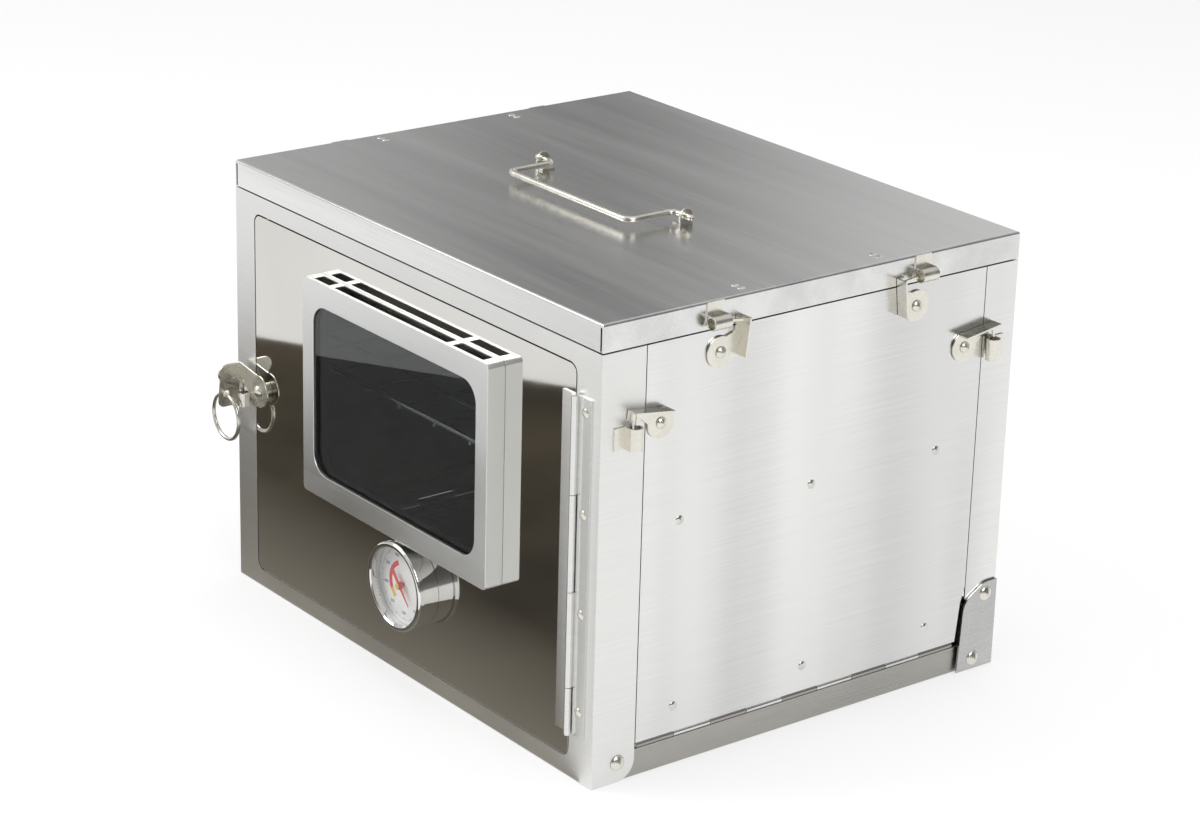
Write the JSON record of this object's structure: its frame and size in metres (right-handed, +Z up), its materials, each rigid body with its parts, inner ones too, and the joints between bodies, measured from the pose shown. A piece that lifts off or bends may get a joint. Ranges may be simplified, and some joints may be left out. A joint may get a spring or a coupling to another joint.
{
  "type": "folding camp oven",
  "caption": "Box oven of folding stainless panels with a lift-off lid and bail handle, windowed door with ring latch and thermometer, turn-hook clips, inner rack and hinged walls.",
  "frame": {"origin": "centre of the underside of the base pan, where the oven stands", "axes": "+X to the right seen from the door side, +Y from the door to the back, +Z up through the lid"},
  "size_m": [0.3571, 0.2977, 0.2614],
  "materials": {
    "wall_steel": "satin brushed stainless sheet",
    "lid_steel": "dark satin brushed stainless sheet",
    "door_steel": "mirror-polished stainless sheet",
    "bezel_steel": "satin stainless sheet",
    "hardware_steel": "bright plated steel",
    "rack_steel": "bright chrome-plated wire",
    "pan_steel": "satin stainless sheet",
    "gauge_chrome": "chrome plated",
    "dial_white": "white enamel dial with plain numbers",
    "needle_red": "red paint",
    "window_glass": "heat-resistant clear glass",
    "lens_glass": "clear glass",
    "gasket_rope": "woven glass-fibre rope"
  },
  "bodies": {
    "base": {"base_pan": "pan_steel", "side_hinge_base_leaves": "pan_steel", "side_hinge_pins": "hardware_steel", "front_pivot_rivets": "hardware_steel", "rear_brackets": "wall_steel", "rear_pivot_rivets": "hardware_steel", "rear_foot_rivets": "hardware_steel"},
    "front_wall": {"front_wall": "wall_steel", "door_hinge_frame_leaf": "wall_steel", "door_hinge_pin": "hardware_steel", "door_hinge_rivets": "hardware_steel", "front_keepers": "hardware_steel", "latch_keeper": "hardware_steel"},
    "door": {"door_panel": "door_steel", "door_hinge_door_leaf": "wall_steel", "window_bezel": "bezel_steel", "window_glass": "window_glass", "window_retainer": "bezel_steel", "window_gasket": "gasket_rope", "gauge_case": "gauge_chrome", "gauge_bezel": "gauge_chrome", "gauge_lens": "lens_glass", "gauge_dial": "dial_white", "gauge_stem": "gauge_chrome", "gauge_nut": "hardware_steel", "latch_rivet": "hardware_steel"},
    "needle": {"gauge_needle": "needle_red"},
    "latch": {"latch_hook": "hardware_steel"},
    "ring": {"latch_ring": "hardware_steel"},
    "rear_wall": {"rear_wall": "wall_steel", "rear_keepers": "hardware_steel"},
    "left_wall": {"left_wall": "wall_steel", "left_hinge_leaf": "wall_steel", "left_upper_rail": "wall_steel", "left_lower_rail": "wall_steel", "left_rail_rivets": "hardware_steel", "left_clip_rivets": "hardware_steel"},
    "right_wall": {"right_wall": "wall_steel", "right_hinge_leaf": "wall_steel", "right_upper_rail": "wall_steel", "right_lower_rail": "wall_steel", "right_rail_rivets": "hardware_steel", "right_clip_rivets": "hardware_steel"},
    "lid": {"lid_panel": "lid_steel", "lid_stiffeners": "lid_steel", "lid_rivets": "hardware_steel", "lid_keepers": "hardware_steel", "handle_eyes": "hardware_steel"},
    "handle": {"handle_bail": "hardware_steel"},
    "rack": {"rack_frame": "rack_steel", "rack_wires": "rack_steel"},
    "left_front_lid_clip": {"left_front_lid_clip": "hardware_steel"},
    "left_front_corner_clip": {"left_front_corner_clip": "hardware_steel"},
    "left_rear_lid_clip": {"left_rear_lid_clip": "hardware_steel"},
    "left_rear_corner_clip": {"left_rear_corner_clip": "hardware_steel"},
    "right_front_lid_clip": {"right_front_lid_clip": "hardware_steel"},
    "right_front_corner_clip": {"right_front_corner_clip": "hardware_steel"},
    "right_rear_lid_clip": {"right_rear_lid_clip": "hardware_steel"},
    "right_rear_corner_clip": {"right_rear_corner_clip": "hardware_steel"}
  },
  "joints": [
    {"name": "front_wall_fold", "type": "hinge", "parent": "base", "child": "front_wall", "pos_m": [0, -0.1235, 0.011], "axis": [-1, 0, 0], "range_deg": [-65, 0]},
    {"name": "rear_wall_fold", "type": "hinge", "parent": "base", "child": "rear_wall", "pos_m": [0, 0.1316, 0.044], "axis": [1, 0, 0], "range_deg": [-90, 0]},
    {"name": "left_wall_fold", "type": "hinge", "parent": "base", "child": "left_wall", "pos_m": [-0.1682, 0, 0.017], "axis": [0, 1, 0], "range_deg": [-90, 0]},
    {"name": "right_wall_fold", "type": "hinge", "parent": "base", "child": "right_wall", "pos_m": [0.1682, 0, 0.017], "axis": [0, -1, 0], "range_deg": [-90, 0]},
    {"name": "door_hinge", "type": "hinge", "parent": "front_wall", "child": "door", "pos_m": [0.1515, -0.1423, 0.118], "axis": [0, 0, 1], "range_deg": [0, 165]},
    {"name": "latch_turn", "type": "hinge", "parent": "door", "child": "latch", "pos_m": [-0.142, -0.14, 0.1226], "axis": [0, 1, 0], "range_deg": [-8, 82]},
    {"name": "ring_swing", "type": "hinge", "parent": "latch", "child": "ring", "pos_m": [-0.16463, -0.1516, 0.11609], "axis": [0.9903, 0, -0.1392], "range_deg": [-100, 0]},
    {"name": "needle_turn", "type": "hinge", "parent": "door", "child": "needle", "pos_m": [0.0085, -0.14, 0.0582], "axis": [0, 1, 0], "range_deg": [-80, 200]},
    {"name": "lid_lift", "type": "slide", "parent": "base", "child": "lid", "axis": [0, 0, -1], "range_m": [-0.32, 0]},
    {"name": "rack_lift", "type": "slide", "parent": "base", "child": "rack", "axis": [0, 0, -1], "range_m": [-0.24, 0]},
    {"name": "handle_hinge", "type": "hinge", "parent": "lid", "child": "handle", "pos_m": [0, -0.004, 0.257], "axis": [-1, 0, 0], "range_deg": [0, 180]},
    {"name": "left_front_lid_clip_turn", "type": "hinge", "parent": "left_wall", "child": "left_front_lid_clip", "pos_m": [-0.17, -0.0663, 0.224], "axis": [-1, 0, 0], "range_deg": [-6.6, 80]},
    {"name": "left_front_corner_clip_turn", "type": "hinge", "parent": "left_wall", "child": "left_front_corner_clip", "pos_m": [-0.17, -0.1031, 0.194], "axis": [-1, 0, 0], "range_deg": [-8, 100]},
    {"name": "left_rear_lid_clip_turn", "type": "hinge", "parent": "left_wall", "child": "left_rear_lid_clip", "pos_m": [-0.17, 0.0663, 0.224], "axis": [1, 0, 0], "range_deg": [-6.6, 80]},
    {"name": "left_rear_corner_clip_turn", "type": "hinge", "parent": "left_wall", "child": "left_rear_corner_clip", "pos_m": [-0.17, 0.1031, 0.194], "axis": [1, 0, 0], "range_deg": [-8, 100]},
    {"name": "right_front_lid_clip_turn", "type": "hinge", "parent": "right_wall", "child": "right_front_lid_clip", "pos_m": [0.17, -0.0663, 0.224], "axis": [-1, 0, 0], "range_deg": [-6.6, 80]},
    {"name": "right_front_corner_clip_turn", "type": "hinge", "parent": "right_wall", "child": "right_front_corner_clip", "pos_m": [0.17, -0.1031, 0.194], "axis": [-1, 0, 0], "range_deg": [-8, 100]},
    {"name": "right_rear_lid_clip_turn", "type": "hinge", "parent": "right_wall", "child": "right_rear_lid_clip", "pos_m": [0.17, 0.0663, 0.224], "axis": [1, 0, 0], "range_deg": [-6.6, 80]},
    {"name": "right_rear_corner_clip_turn", "type": "hinge", "parent": "right_wall", "child": "right_rear_corner_clip", "pos_m": [0.17, 0.1031, 0.194], "axis": [1, 0, 0], "range_deg": [-8, 100]}
  ],
  "couplings": [
    {"joint": "rack_lift", "follows": "lid_lift", "ratio": 0.75}
  ]
}
